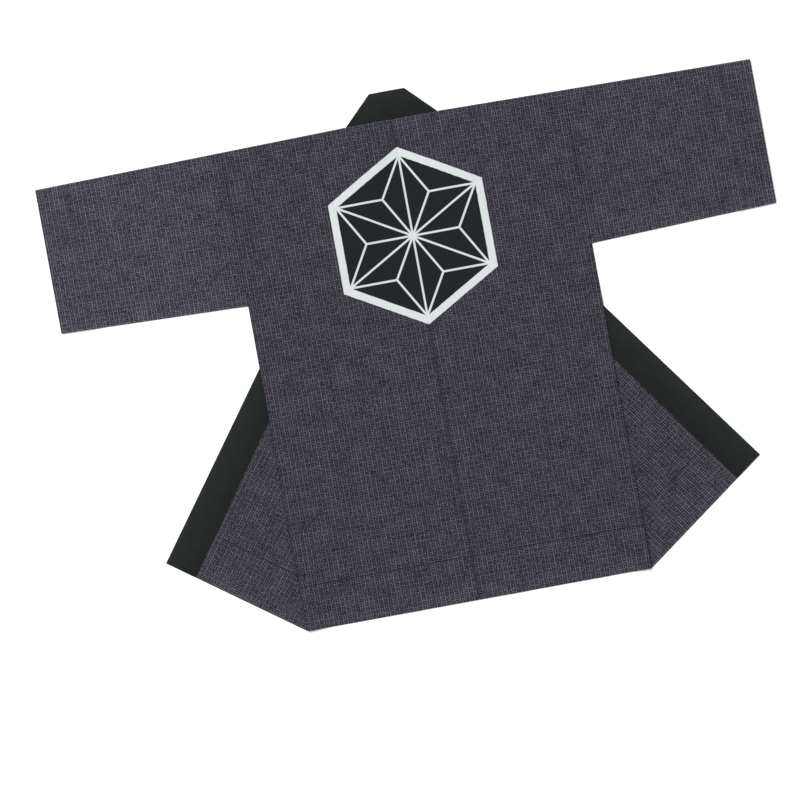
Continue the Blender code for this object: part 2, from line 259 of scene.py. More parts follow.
def sleeve_points(flat_x, flat_y, out):
    """Sleeve: its back where flat_y < 0, over its top fold, then its front on the table."""
    advance, out = half_turn(flat_x - CUFF_START, out, TURN_RADIUS)
    x = CUFF_START + advance
    radius = TURN_RADIUS * (1.0 + 2.0 * falling(HALF_SPAN - CUFF_TURN - x, SHORT_RAMP))
    start = shoulder_line(x) - radius - WALL / 2.0
    along = (x - HALF_BODY) / (HALF_SPAN - HALF_BODY)
    bottom = -ARMHOLE_END + (ARMHOLE_END - CUFF_END) * along
    run = np.maximum(from_shoulder(flat_y), 0.0)
    advance, rise = half_turn(flat_y, out, radius)
    in_fold = (flat_y > 0.0) & (flat_y < STRIP)
    y = np.where(in_fold, start + advance, start + run * (bottom - start) / ARMHOLE_END)
    low_side = WALL / 2.0
    z = np.where(in_fold, low_side + 2.0 * radius + rise, low_side - out)
    z = np.where(flat_y <= 0.0, low_side + 2.0 * radius + out, z)
    return np.stack([x, y, z], -1)


def collar_points(flat_x, flat_y, out):
    """Collar band: the stand behind the neck, the mitre, down the front, then turned out."""
    past = (flat_x - NECK_HALF) * MITRE_IN[0] + flat_y * MITRE_IN[1]
    stand = folded_under(flat_x, flat_y, out, past, MITRE_IN, stand_middle, collar_front_middle)
    x, y = stand[..., 0], stand[..., 1]
    front = folded_under(
        x, y, -out, past_fold(x, y), FOLD_IN, collar_front_middle, collar_flap_middle)
    return np.where((past < STRIP / 2.0)[..., None], stand, front)


print("shoulder fold radius", round(float(shoulder_fold(np.float64(200.0))[1]), 2), "mm")

# %% [markdown]
# Pressed cotton still keeps soft creases: a pull below each underarm, a ripple beside the
# seams, a faint bow where the coat was folded away. Each is one row of a table, a straight
# stretch with a width and a height. Its form is a bell curve, faded out at both ends. A layer
# rises with its height above the table: what lies on the table stays flat, what lies on top
# takes the whole crease, and none passes through another.

# %% Creases
CREASES = (
    # from x, from y, to x, to y, width, height, all in millimetres
    (-292, -268, -196, -372, 13, 1.3),
    (-300, -300, -262, -420, 9, 0.8),
    (288, -262, 178, -342, 15, 1.1),
    (298, -290, 236, -452, 10, 0.9),
    (-318, -262, -420, -206, 12, 0.9),
    (322, -258, 398, -196, 11, 1.0),
    (-352, -24, -332, -246, 8, 0.5),
    (336, -40, 352, -180, 9, 0.5),
    (-598, -70, -470, -96, 16, 0.8),
    (-566, -214, -430, -188, 14, 0.6),
    (598, -190, 446, -152, 17, 0.8),
    (560, -66, 470, -90, 12, 0.5),
    (-240, -46, -206, -300, 20, 0.7),
    (216, -62, 262, -236, 18, 0.6),
    (-22, -392, -30, -640, 10, 0.6),
    (26, -420, 20, -590, 12, 0.5),
    (-196, -520, -176, -760, 22, 0.9),
    (150, -470, 196, -700, 24, 0.8),
    (-110, -842, -96, -712, 13, 0.6),
    (68, -846, 84, -738, 15, 0.7),
    (214, -844, 204, -776, 9, 0.5),
    (-400, -756, -372, -640, 12, 0.8),
    (428, -736, 380, -610, 13, 0.7),
    (-352, -792, -336, -700, 9, 0.5),
    (360, -520, 346, -640, 11, 0.6),
    (-356, -560, -340, -660, 12, 0.5),
)
SWELLS = (
    # waves across X, waves along Y in a metre, phase, height in millimetres
    (2.3, 3.1, 0.4, 0.22),
    (-3.7, 2.2, 1.9, 0.16),
    (5.1, -4.3, 3.3, 0.10),
    (8.7, 6.1, 5.0, 0.05),
)
FREE_HEIGHT = 1.2        # from this height up a layer takes a crease in full
CREASE_GAIN = 1.5        # how far the coat has been handled since it was pressed
CREASE_BOW = 0.04        # how far a crease bows aside, as a share of its length
CREASE_FADE = 1.6        # how far it fades out past its ends, in its own widths


def rumple(x, y, z):
    """Rise of a layer at height z: min(z / free height, 1) x (creases + a slow swell)."""
    rise = np.zeros_like(x)
    for from_x, from_y, to_x, to_y, width, height in CREASES:
        length = math.hypot(to_x - from_x, to_y - from_y)
        way_x, way_y = (to_x - from_x) / length, (to_y - from_y) / length
        along = (x - from_x) * way_x + (y - from_y) * way_y
        bow = CREASE_BOW * length * np.sin(np.pi * np.clip(along / length, 0.0, 1.0))
        across = (x - from_x) * way_y - (y - from_y) * way_x + bow
        outside = np.maximum(np.maximum(-along, along - length), 0.0)
        fade = bell(outside, CREASE_FADE * width)
        rise += CREASE_GAIN * height * fade * bell(across, width)
    for waves_x, waves_y, phase, height in SWELLS:
        turn = 2.0 * np.pi * (waves_x * x + waves_y * y) * MM + phase
        rise += height * (1.0 + np.sin(turn)) / 2.0
    return rise * np.clip(z / FREE_HEIGHT, 0.0, 1.0)


highest = CREASE_GAIN * max(row[5] for row in CREASES)
print(len(CREASES), "creases, highest", round(highest, 2), "mm")

# %% [markdown]
# A sheet of cloth is a grid of flat points and its two faces, joined by a narrow rim. Rows and
# columns are close together at edges, stitch lines and folds. The cloth thins to a soft lip at
# an edge and sinks along seams and stitch lines, which makes them look pressed. A painted halo
# of light pales it along its hems, cuffs and folded edges, and the sleeves are a lighter tone,
# so each point keeps its tone.

# %% Grids and shells
FINE = np.array([0.0, 0.35, 0.9, 1.8, 3.2, 5.2])     # rows near an edge
CLOTH_HALF = 0.42        # half of the cloth's thickness
LIP_SHARE = 0.45         # share of its thickness that the cloth loses at an edge
LIP_REACH = 0.8
SEAM_DIP = 0.22          # how far the cloth sinks at a seam
SEAM_REACH = 1.6
STITCH_DIP = 0.25        # and along a line of stitches
STITCH_REACH = 1.5
NEAR_STITCHES = np.array([-5.0, -3.0, -1.6, -0.7, 0.0, 0.7, 1.6, 3.0, 5.0])
CLEAR_OF_STITCHES = 6.0  # plain rows stop this far from a stitch line
FOLD_STEPS = 12          # quads round a fold
GRID_STEP = 7.0          # between rows or columns on plain cloth
INNER_STEP = 8.0         # and on cloth that is turned in
MERGE = 0.00001          # metres within which points become one
SHARP_ANGLE = math.radians(55.0)


def spaced(start, end, step, fine_start=True, fine_end=True):
    """Stations from start to end, a step apart, with close ones at the ends that ask for them."""
    middle = np.linspace(start, end, max(int(round((end - start) / step)), 2) + 1)
    parts = [middle]
    if fine_start:
        parts.append(start + FINE)
    if fine_end:
        parts.append(end - FINE)
    stations = np.unique(np.round(np.concatenate(parts), 4))
    return stations[(stations >= start) & (stations <= end)]


def make_mesh(name, points, uv, faces, tone=None):
    """Put points (n, 3) in millimetres, flat places (n, 2) and quads (m, 4) into a mesh piece."""
    kept, faces = np.unique(faces, return_inverse=True)
    faces = faces.reshape(-1, 4)
    points, uv = points[kept], uv[kept]
    tone = np.ones(len(points)) if tone is None else tone[kept]
    places = points * MM + np.array([0.0, NECK_Y * MM, 0.0])
    mesh = bpy.data.meshes.new(name)
    mesh.vertices.add(len(places))
    mesh.vertices.foreach_set("co", places.astype(np.float32).ravel())
    mesh.loops.add(faces.size)
    mesh.loops.foreach_set("vertex_index", faces.astype(np.int32).ravel())
    mesh.polygons.add(len(faces))
    mesh.polygons.foreach_set("loop_start", np.arange(0, faces.size, 4, dtype=np.int32))
    mesh.polygons.foreach_set("loop_total", np.full(len(faces), 4, dtype=np.int32))
    layer = mesh.uv_layers.new(name="cut")
    layer.data.foreach_set("uv", (uv[faces.ravel()] * MM).astype(np.float32).ravel())
    tones = mesh.attributes.new("tone", "FLOAT", "POINT").data
    tones.foreach_set("value", tone.astype(np.float32))
    mesh.update(calc_edges=True)
    merged = bmesh.new()
    merged.from_mesh(mesh)
    bmesh.ops.remove_doubles(merged, verts=merged.verts, dist=MERGE)
    bmesh.ops.dissolve_degenerate(merged, edges=merged.edges, dist=MERGE / 2.0)
    merged.to_mesh(mesh)
    merged.free()
    mesh.shade_smooth()
    mesh.set_sharp_from_angle(angle=SHARP_ANGLE)
    piece = bpy.data.objects.new(name, mesh)
    bpy.context.scene.collection.objects.link(piece)
    return piece


def cloth_shell(name, fold, grid, side, tone):
    """Both faces of a sheet, at + and - half its thickness along the fold rule, and its rim.

    The grid holds flat places, the quads that are cloth, and each point's distance to the
    nearest edge and to the nearest stitch line. Near both the sheet sinks by a bell curve, and
    near an edge it thins by one too.
    """
    flat_x, flat_y, used, edge_away, stitch_away = grid
    rows, columns = flat_x.shape
    half = CLOTH_HALF * (1.0 - LIP_SHARE * bell(edge_away, LIP_REACH))
    dip = SEAM_DIP * bell(edge_away, SEAM_REACH)
    dip += STITCH_DIP * bell(stitch_away, STITCH_REACH)
    faces_of_cloth = []
    for way in (1.0, -1.0):
        skin = fold(flat_x, flat_y, way * half - dip)
        skin[..., 2] = np.maximum(skin[..., 2], CLEARANCE)
        skin[..., 0] *= side
        skin[..., 2] += rumple(skin[..., 0], skin[..., 1], skin[..., 2])
        faces_of_cloth.append(skin.reshape(-1, 3))
    points = np.concatenate(faces_of_cloth)
    index = np.arange(rows * columns).reshape(rows, columns)
    top = np.stack([index[:-1, :-1], index[:-1, 1:], index[1:, 1:], index[1:, :-1]], -1)[used]
    total = rows * columns
    ways = np.concatenate([top[:, [k, (k + 1) % 4]] for k in range(4)])
    lone = ways[~np.isin(ways[:, 0] * total + ways[:, 1], ways[:, 1] * total + ways[:, 0])]
    rim = np.stack([lone[:, 1], lone[:, 0], lone[:, 0] + total, lone[:, 1] + total], -1)
    faces = np.concatenate([top, top[:, ::-1] + total, rim])
    if side < 0.0:
        faces = faces[:, ::-1]
    flat = np.stack([side * flat_x, flat_y], -1).reshape(-1, 2)
    piece = make_mesh(name, points, np.tile(flat, (2, 1)), faces, np.tile(tone.ravel(), 2))
    print(name, len(piece.data.polygons), "faces")
    return piece


def paler(distance, amount, reach):
    """Paler border of the cloth, a painted halo of light: amount x exp(-distance / reach)."""
    return amount * np.exp(-np.maximum(distance, 0.0) / reach)


# %% [markdown]
# One body length runs from the back hem over the shoulder to the front hem, with no shoulder
# seam. Each row of the grid crosses the cloth. On the front, the columns part at the slanting
# fold: some for what stays under the back, nine for the fold itself, the rest for what is
# turned out. Where a part has no width its columns fall together and are merged.

# %% Body, cut in one length each side
FLAP_STEP, STAY_STEP = 0.034, 0.030      # shares of the width turned out, and of what stays
FOLD_GUESS = 200.0               # X that the search for the front's fold starts from
HEM_HALO = (0.24, 26.0)          # how much paler the painted halo of light makes an edge, and how far that reaches
SHOULDER_HALO = (0.10, 18.0)


def body_grid():
    """Flat X and Y of the body's grid, its used quads, and each point's distance to an edge."""
    turned_in = HEM_START + STRIP + HEM_TURN
    bend = np.linspace(0.0, STRIP, FOLD_STEPS + 1)
    length = spaced(0.0, HEM_START, GRID_STEP, False, False)[1:-1]
    length = length[np.abs(length - HEM_SEAM) > CLEAR_OF_STITCHES]
    length = np.sort(np.concatenate([length, HEM_SEAM + NEAR_STITCHES]))
    leaf = spaced(HEM_START + STRIP, turned_in, INNER_STEP, False, True)
    run = np.concatenate([length, HEM_START + bend, leaf[1:]])
    flat_y = np.concatenate([-run[::-1], bend, STRIP + run])

    neck = spaced(HALF_GAP, NECK_HALF - NECK_SNIP, GRID_STEP, True, False)
    flap_share = spaced(0.0, 100.0, 100.0 * FLAP_STEP, True, False) / 100.0
    strip_past = np.linspace(STRIP / 2.0, -STRIP / 2.0, 9)
    stay_share = spaced(0.0, 100.0, 100.0 * STAY_STEP, False, True) / 100.0
    outer = HALF_BODY - HALF_GAP

    shown_y = np.minimum(np.maximum(from_shoulder(flat_y), 0.0), HEM_START)
    shown_y = shown_y - np.maximum(from_shoulder(flat_y) - HEM_START - STRIP, 0.0)
    on_front = flat_y > STRIP / 2.0
    seam = np.where(on_front, collar_seam(-shown_y), NECK_HALF) + HALF_GAP
    seam = np.where(np.abs(flat_y - STRIP / 2.0) < STRIP, NECK_HALF + NECK_SNIP, seam)

    # The shoulder's height depends on X and the fold's X on that height, so it is found in turns.
    x = np.full((len(flat_y), len(strip_past)), FOLD_GUESS)
    fold_x = HALF_BODY - strip_past / math.cos(FRONT_TURN)
    for _ in range(5):
        start = shoulder_fold(np.maximum(x, NECK_HALF))[2]
        y = start - shown_y[:, None] * (BODY_LENGTH + start) / BODY_LENGTH
        x = fold_x - (y + BODY_LENGTH) * math.tan(FRONT_TURN)
    crossing = np.where(on_front[:, None], x, NECK_HALF)
    crossing = np.clip(crossing, seam[:, None], outer)
    flap = seam[:, None] + (crossing[:, :1] - seam[:, None]) * flap_share[None, :-1]
    stay = crossing[:, -1:] + (outer - crossing[:, -1:]) * stay_share[None, 1:]
    neck_part = np.broadcast_to(neck, (len(flat_y), len(neck)))
    flat_x = np.concatenate([neck_part, flap, crossing, stay], axis=1)
    grid_y = np.broadcast_to(flat_y[:, None], flat_x.shape).copy()

    # Behind the neck the cloth runs on past the shoulder line, up to the collar and no further.
    neck_rise = float(shoulder_fold(np.float64(NECK_HALF))[1]) + WALL / 2.0 - HALF_GAP
    grid_y[:, :len(neck)] = np.minimum(grid_y[:, :len(neck)], neck_rise)
    used = np.ones((flat_x.shape[0] - 1, flat_x.shape[1] - 1), bool)
    used[:, :len(neck) - 1] &= (flat_y[:-1] < neck_rise)[:, None]
    used[:, len(neck) - 1] &= flat_y[1:] <= 0.0
    inner = np.where(on_front, seam, HALF_GAP)[:, None]
    edge_away = np.minimum(np.abs(flat_x - inner), outer - flat_x)
    edge_away[:, :len(neck)] = np.minimum(
        edge_away[:, :len(neck)], np.abs(grid_y[:, :len(neck)] - neck_rise))
    ends = np.minimum(flat_y - flat_y[0], flat_y[-1] - flat_y)[:, None]
    return flat_x, grid_y, used, np.minimum(edge_away, ends), from_shoulder(grid_y) - HEM_SEAM


pieces = {}
body = body_grid()
body_run = np.abs(body[1])
# A painted halo of light pales the body along its hems and its shoulder fold.
body_tone = 1.0 + paler(HEM_START - body_run, *HEM_HALO) + paler(body_run, *SHOULDER_HALO)
for side, word in SIDES:
    pieces["body_" + word] = cloth_shell("cloth_body_" + word, body_points, body, side, body_tone)

# %% [markdown]
# A sleeve is one straight piece folded along its top, sewn along the bottom, and turned in at
# the cuff. The same grid does for both, mirrored.

# %% Sleeves
SLEEVE_PALER = {"left": 0.24, "right": 0.09}     # against the body
PALER_REACH = 45.0
# Painted halo of light along the sleeve's underside, top fold and cuff: how much paler, how far.
UNDER_HALO, TOP_HALO, CUFF_HALO = (0.20, 20.0), (0.10, 14.0), (0.08, 16.0)


def sleeve_grid():
    """Columns run from the armhole round the cuff and back inside, rows round the arm."""
    bend = np.linspace(0.0, STRIP, FOLD_STEPS + 1)
    arm = spaced(HALF_BODY + HALF_GAP, CUFF_START, GRID_STEP, True, False)
    arm = arm[np.abs(arm - CUFF_SEAM) > CLEAR_OF_STITCHES]
    arm = np.sort(np.concatenate([arm, CUFF_SEAM + NEAR_STITCHES]))
    inside = spaced(CUFF_START + STRIP, CUFF_START + STRIP + CUFF_TURN, INNER_STEP, False, True)
    across = np.concatenate([arm[:-1], CUFF_START + bend, inside[1:]])
    half = spaced(0.0, ARMHOLE_END, GRID_STEP, False, True)[1:]
    along = np.concatenate([-half[::-1], bend, STRIP + half])
    flat_x, flat_y = np.meshgrid(across, along)
    edge_away = np.minimum(flat_x - across[0], across[-1] - flat_x)
    edge_away = np.minimum(edge_away, np.minimum(flat_y - along[0], along[-1] - flat_y))
    used = np.ones((len(along) - 1, len(across) - 1), bool)
    return flat_x, flat_y, used, edge_away, flat_x - CUFF_SEAM


sleeve = sleeve_grid()
sleeve_run = np.abs(sleeve[1])
down_arm = 1.0 - np.exp(-(sleeve[0] - HALF_BODY) / PALER_REACH)
# The sleeve's edges are paler with the painted halo of light.
edge_halo = paler(ARMHOLE_END - sleeve_run, *UNDER_HALO) + paler(sleeve_run, *TOP_HALO)
edge_halo += paler(CUFF_START - sleeve[0], *CUFF_HALO)
for side, word in SIDES:
    sleeve_tone = 1.0 + SLEEVE_PALER[word] * down_arm + edge_halo
    name = "cloth_sleeve_" + word
    pieces["sleeve_" + word] = cloth_shell(name, sleeve_points, sleeve, side, sleeve_tone)

# %% [markdown]
# The collar is a strip folded lengthwise over its free edge, so a cut across it is a long, thin
# U. That profile is carried along the band. Where the band is mitred at the neck and turned
# out below it, its cross lines lean to lie along the fold, which keeps the fold clean.

# %% Collar band
PLY_HALF = 0.33          # half of one ply of the collar
PLY_OUT = COLLAR_WALL / 2.0 - PLY_HALF - CLEARANCE
PLY_APART = 120.0        # the two plies lie this far apart on the cut, so their weave differs
SEAM_AT_TURN = 81.5      # centre to the collar seam where the front is turned out
END_LIP = 5.0            # length with close cross lines at the hem
COLLAR_SEAM_SHADE = 0.76         # tone at the collar's seam, darkened as painted shade
EDGE_GREY = 0.54         # how much paler it is at its free edge


def collar_profile():
    """Closed U: share of the width from seam (0) to free edge (1), reach past it, and offset.

    The middle line goes out on one ply, round a half circle of radius PLY_OUT, and back on the
    other. The profile is that line moved out and then in by half a ply.
    """
    away = spaced(0.0, 1.0, 1.0 / 9.0, False, False)
    turn = np.linspace(np.pi / 2.0, -np.pi / 2.0, 11)
    loops = []
    for way in (PLY_HALF, -PLY_HALF):
        radius = PLY_OUT + way
        share = np.concatenate([away, np.ones(9), away[::-1]])
        reach = np.concatenate([0.0 * away, radius * np.cos(turn[1:-1]), 0.0 * away])
        rise = radius * np.sin(turn[1:-1])
        offset = np.concatenate([0.0 * away + radius, rise, 0.0 * away - radius])
        loops.append((share, reach, offset))
    return [np.concatenate([loops[0][part], loops[1][part][::-1]]) for part in range(3)]


def collar_stations():
    """Where each cross line of the band meets its seam edge and its free edge."""
    half_mitre = STRIP / 2.0 / MITRE_IN[0]
    end = NECK_HALF + BODY_LENGTH
    seam_turn = NECK_HALF + (BODY_LENGTH - (HALF_BODY - SEAM_AT_TURN) / math.tan(FRONT_TURN))
    free_turn = NECK_HALF + (BODY_LENGTH - (HALF_BODY - FREE_EDGE) / math.tan(FRONT_TURN))
    half_fold = STRIP / 2.0 / math.sin(FRONT_TURN)
    keys = (
        # seam edge, free edge, cross lines up to here
        (0.0, 0.0, 0),
        (NECK_HALF - half_mitre, FREE_EDGE - half_mitre, 10),
        (NECK_HALF + half_mitre, FREE_EDGE + half_mitre, FOLD_STEPS),
        (seam_turn - half_fold, free_turn - half_fold, 18),
        (seam_turn + half_fold, free_turn + half_fold, FOLD_STEPS),
        (end - END_LIP, end - END_LIP, 96),
        (end, end, 5),
    )
    seam, free = [np.zeros(1)], [np.zeros(1)]
    for before, after in zip(keys, keys[1:]):
        share = np.linspace(0.0, 1.0, after[2] + 1)[1:]
        seam.append(before[0] + (after[0] - before[0]) * share)
        free.append(before[1] + (after[1] - before[1]) * share)
    return np.concatenate(seam), np.concatenate(free)


def collar_band(name):
    """The profile at every cross line, folded for one half and mirrored for the other."""
    share, reach, offset = collar_profile()
    seam_x, free_x = collar_stations()
    flat_x = seam_x[:, None] + (free_x - seam_x)[:, None] * share
    seam_y = HALF_GAP - COLLAR_FLARE * np.maximum(flat_x - NECK_HALF, 0.0) / BODY_LENGTH
    flat_y = seam_y + (COLLAR_STAND - COLLAR_WALL / 2.0 - seam_y) * share + reach
    half = collar_points(flat_x, flat_y, np.broadcast_to(offset, flat_x.shape))
    skins, flats = [], []
    for side in (-1.0, 1.0):
        skin = half.copy()
        skin[..., 0] *= side
        skin[..., 2] = np.maximum(skin[..., 2], CLEARANCE)
        skin[..., 2] += rumple(skin[..., 0], skin[..., 1], skin[..., 2])
        ply = np.where(offset >= 0.0, 0.0, PLY_APART)
        flat = np.stack([side * flat_x, flat_y + ply], -1)
        skins.append(skin[::-1] if side < 0.0 else skin[1:])
        flats.append(flat[::-1] if side < 0.0 else flat[1:])
    skin, flat = np.concatenate(skins), np.concatenate(flats)
    rows, columns = skin.shape[:2]
    index = np.arange(rows * columns).reshape(rows, columns)
    around = np.roll(index, -1, axis=1)
    walls = np.stack([index[:-1], index[1:], around[1:], around[:-1]], -1).reshape(-1, 4)
    pairs = np.arange(columns // 2 - 1)
    caps = []
    for row, way in ((0, 1), (rows - 1, -1)):
        cap = np.stack([
            index[row, pairs], index[row, pairs + 1],
            index[row, columns - 2 - pairs], index[row, columns - 1 - pairs]], -1)
        caps.append(cap[:, ::way])
    faces = np.concatenate([walls, *caps])
    # The band is painted darker beside its seam, as shade, and paler out to its free edge.
    tone = np.broadcast_to(COLLAR_SEAM_SHADE + EDGE_GREY * share ** 1.6, skin.shape[:2]).ravel()
    piece = make_mesh(name, skin.reshape(-1, 3), flat.reshape(-1, 2), faces, tone)
    print(name, len(piece.data.polygons), "faces")
    return piece


pieces["collar"] = collar_band("cloth_collar")

# %% [markdown]
# The hems and cuffs are held by a line of small black stitches. A stitch is a short arc of
# thread: its middle stands on the cloth and its two ends go down into it. Its centre line is
# c + a s L / 2 + z (h (1 - s^2) - sink), with s from -1 to 1, a the way the row runs and z up,
# and the thread is drawn round that line with rings of four points.

# %% Stitches
STITCH_LENGTH = 2.7
STITCH_PITCH = 3.4
STITCH_RISE = 0.34
STITCH_SINK = 0.16
THREAD_HALF = 0.19
THREAD_TAPER = 0.35      # share of its thickness that the thread loses at a stitch's ends
STITCH_WAVER = 0.16      # how far a stitch strays from its row
RINGS = 7
RING_POINTS = 4
STITCH_ROWS = (
    # on, from X, from Y, to X, to Y: places on the flat cloth, Y past the strip on the front
    ("body", 1.5, -HEM_SEAM, 303.0, -HEM_SEAM),
    ("body", 93.0, STRIP + HEM_SEAM, 272.0, STRIP + HEM_SEAM),
    ("sleeve", CUFF_SEAM, -2.5, CUFF_SEAM, -272.5),
)


def stitch_row(fold, from_x, from_y, to_x, to_y, side):
    """Points (n, 3) and quads of a row of stitches on the cloth's outside."""
    span = np.array([to_x - from_x, to_y - from_y])
    way = span / math.hypot(*span)
    count = int(math.hypot(*span) / STITCH_PITCH)
    share = (np.arange(count) + 0.5) / count
    middle = np.array([from_x, from_y]) + share[:, None] * span
    out = np.full(count, CLOTH_HALF - STITCH_DIP)
    centre = fold(middle[:, 0], middle[:, 1], out)
    ahead = fold(middle[:, 0] + way[0], middle[:, 1] + way[1], out) - centre
    for places in (centre, ahead):
        places[:, 0] *= side
    centre[:, 2] += rumple(centre[:, 0], centre[:, 1], centre[:, 2])
    ahead[:, 2] = 0.0
    ahead /= np.linalg.norm(ahead, axis=1)[:, None]
    aside = np.stack([-ahead[:, 1], ahead[:, 0], np.zeros(count)], -1)
    waver = STITCH_WAVER * np.sin(2.4 * np.arange(count)) * np.sin(0.7 * np.arange(count))
    steps = np.linspace(-1.0, 1.0, RINGS)
    turns = (np.arange(RING_POINTS) + 0.5) / RING_POINTS * 2.0 * np.pi
    lift = STITCH_RISE * (1.0 - steps ** 2) - STITCH_SINK
    thread = THREAD_HALF * (1.0 - THREAD_TAPER * steps ** 4)
    ring_side = (thread[:, None] * np.cos(turns))[None, :, :, None]
    ring_up = (thread[:, None] * np.sin(turns) + lift[:, None])[None, :, :, None]
    spine = centre[:, None, :] + aside[:, None, :] * waver[:, None, None]
    spine = spine + ahead[:, None, :] * (steps * STITCH_LENGTH / 2.0)[None, :, None]
    points = spine[:, :, None, :] + aside[:, None, None, :] * ring_side
    points = points + np.array([0.0, 0.0, 1.0]) * ring_up
    index = np.arange(count * RINGS * RING_POINTS).reshape(count, RINGS, RING_POINTS)
    around = np.roll(index, -1, axis=2)
    sides = np.stack([index[:, :-1], around[:, :-1], around[:, 1:], index[:, 1:]], -1)
    caps = np.concatenate([index[:, 0, ::-1], index[:, -1]])
    return points.reshape(-1, 3), np.concatenate([sides.reshape(-1, 4), caps])


stitches = {}
for side, word in SIDES:
    for part, fold in (("body", body_points), ("sleeve", sleeve_points)):
        all_points, all_faces, total = [], [], 0
        for on, *ends in STITCH_ROWS:
            if on == part:
                points, faces = stitch_row(fold, *ends, side)
                all_points.append(points)
                all_faces.append(faces + total)
                total += len(points)
        points, faces = np.concatenate(all_points), np.concatenate(all_faces)
        row = make_mesh(f"stitches_{part}_{word}", points, points[:, :2], faces)
        stitches[f"{part}_{word}"] = row
        print(row.name, total // (RINGS * RING_POINTS), "stitches")

# %% [markdown]
# Colours are picked as sRGB hex values, and a renderer wants linear light. One function turns
# them. Another adds a node, sets it and links it, and every material is made with that one.

# %% Colour and node helpers
def linear(hex_colour):
    """sRGB hex to linear: c / 12.92 below 0.04045, else ((c + 0.055) / 1.055)^2.4."""
    values = [int(hex_colour[k:k + 2], 16) / 255.0 for k in (1, 3, 5)]
    return (*[v / 12.92 if v <= 0.04045 else ((v + 0.055) / 1.055) ** 2.4 for v in values], 1.0)


def add(tree, kind, inputs=None, **settings):
    """Add one node. inputs maps a socket to a value or to the output that feeds it."""
    new = tree.nodes.new("ShaderNode" + kind)
    for setting, value in settings.items():
        setattr(new, setting, value)
    for socket, value in (inputs or {}).items():
        if isinstance(value, bpy.types.NodeSocket):
            tree.links.new(value, new.inputs[socket])
        else:
            new.inputs[socket].default_value = value
    return new


def worked_out(tree, known, steps):
    """Add a Math node for each step (result, operation, terms) and keep its output by name."""
    for result, operation, *terms in steps:
        inputs = {place: known.get(term, term) for place, term in enumerate(terms)}
        known[result] = add(tree, "Math", inputs, operation=operation).outputs[0]
    return known


def stepped(tree, value, low_edge, high_edge, at_low, at_high):
    """Smooth step between two distances, used for every soft edge of a pattern."""
    inputs = {"Value": value, "From Min": low_edge, "From Max": high_edge,
              "To Min": at_low, "To Max": at_high}
    return add(tree, "MapRange", inputs, interpolation_type="SMOOTHSTEP").outputs[0]


def band(tree, distance, middle, soft):
    """1 inside an edge and 0 beyond it, soft over the given distance on both sides."""
    return stepped(tree, distance, middle - soft, middle + soft, 1.0, 0.0)


def noise(tree, place, scale, detail, roughness=0.5, stretch=None):
    """Noise over the flat cloth, in turns a millimetre, stretched for what runs one way."""
    if stretch:
        place = add(tree, "Mapping", {"Vector": place, "Scale": (*stretch, 1.0)}).outputs[0]
    inputs = {"Vector": place, "Scale": scale, "Detail": detail, "Roughness": roughness}
    return add(tree, "TexNoise", inputs).outputs[0]


def mixed(tree, first, second, share):
    """Blend of two colours, each a hex value or an output."""
    ends = [linear(end) if isinstance(end, str) else end for end in (first, second)]
    return add(tree, "Mix", {6: ends[0], 7: ends[1], 0: share}, data_type="RGBA").outputs[2]


def scaled(tree, colour, factor):
    return add(tree, "VectorMath", {0: colour, "Scale": factor}, operation="SCALE").outputs[0]


def flat_cloth(tree):
    """Place on the flat cloth in millimetres, from the map that each piece was cut with."""
    return scaled(tree, add(tree, "UVMap", uv_map="cut").outputs[0], 1.0 / MM)


def new_material(name):
    material = bpy.data.materials.new(name)
    material.use_nodes = True
    return material, material.node_tree, material.node_tree.nodes["Principled BSDF"]


def cloth_finish(tree, shader, colour, relief, roughness, specular, fuzz):
    """Colour and weave of a cloth, and the constants of its matt surface."""
    bump = add(tree, "Bump", {"Height": relief, "Strength": 0.7, "Distance": 0.0003})
    tree.links.new(colour, shader.inputs["Base Color"])
    tree.links.new(bump.outputs[0], shader.inputs["Normal"])
    shader.inputs["Roughness"].default_value = roughness
    shader.inputs["Specular IOR Level"].default_value = specular
    shader.inputs["Sheen Weight"].default_value = 0.02
    shader.inputs["Sheen Roughness"].default_value = fuzz


# %% [markdown]
# A maker would weave or resist-dye it at about 8 mm a square. In numbers, x / 8.26 and y / 8.02
# count the squares, and PINGPONG gives the distance to the nearest line. Each line is a few
# pale yarns wide, and the yarns that cross it make its edges ragged. Inside a square the yarns
# show along its own split, like the straws of a mat. The cloth is matt cotton, so it is rough,
# with a faint fuzz of sheen. Its yarn is slubby and took the dye unevenly, in streaks and in
# patches of every size.

# %% Checked cotton with its badge
CHECK_ACROSS = 8.26      # millimetres between grid lines across the cloth
CHECK_ALONG = 8.02
LINE_HALF = 0.058        # half a line's width, as a share of a square
LINE_SOFT = 0.024
RAGGED = 0.085           # how far the crossing yarns move a line's edge, as such a share
WEFT_LINES = 0.7         # strength of the lines across the cloth, against those along it
SPLIT_THINNER = 0.008    # how much less of that half width a square's own split has
SEAM_SHADE = 0.50        # how dark the cloth is painted in a seam or a line of stitches, as shade
BADGE_Y = -205.0         # middle of the badge, below the neck line
BADGE_SIDE = 142.0       # centre to corner of the black hexagon
BADGE_EDGE = 13.0        # its white border
BADGE_LINE = 1.8         # half the width of the white lines inside
BADGE_WAVER = 1.4        # how far its hand-dyed edges waver

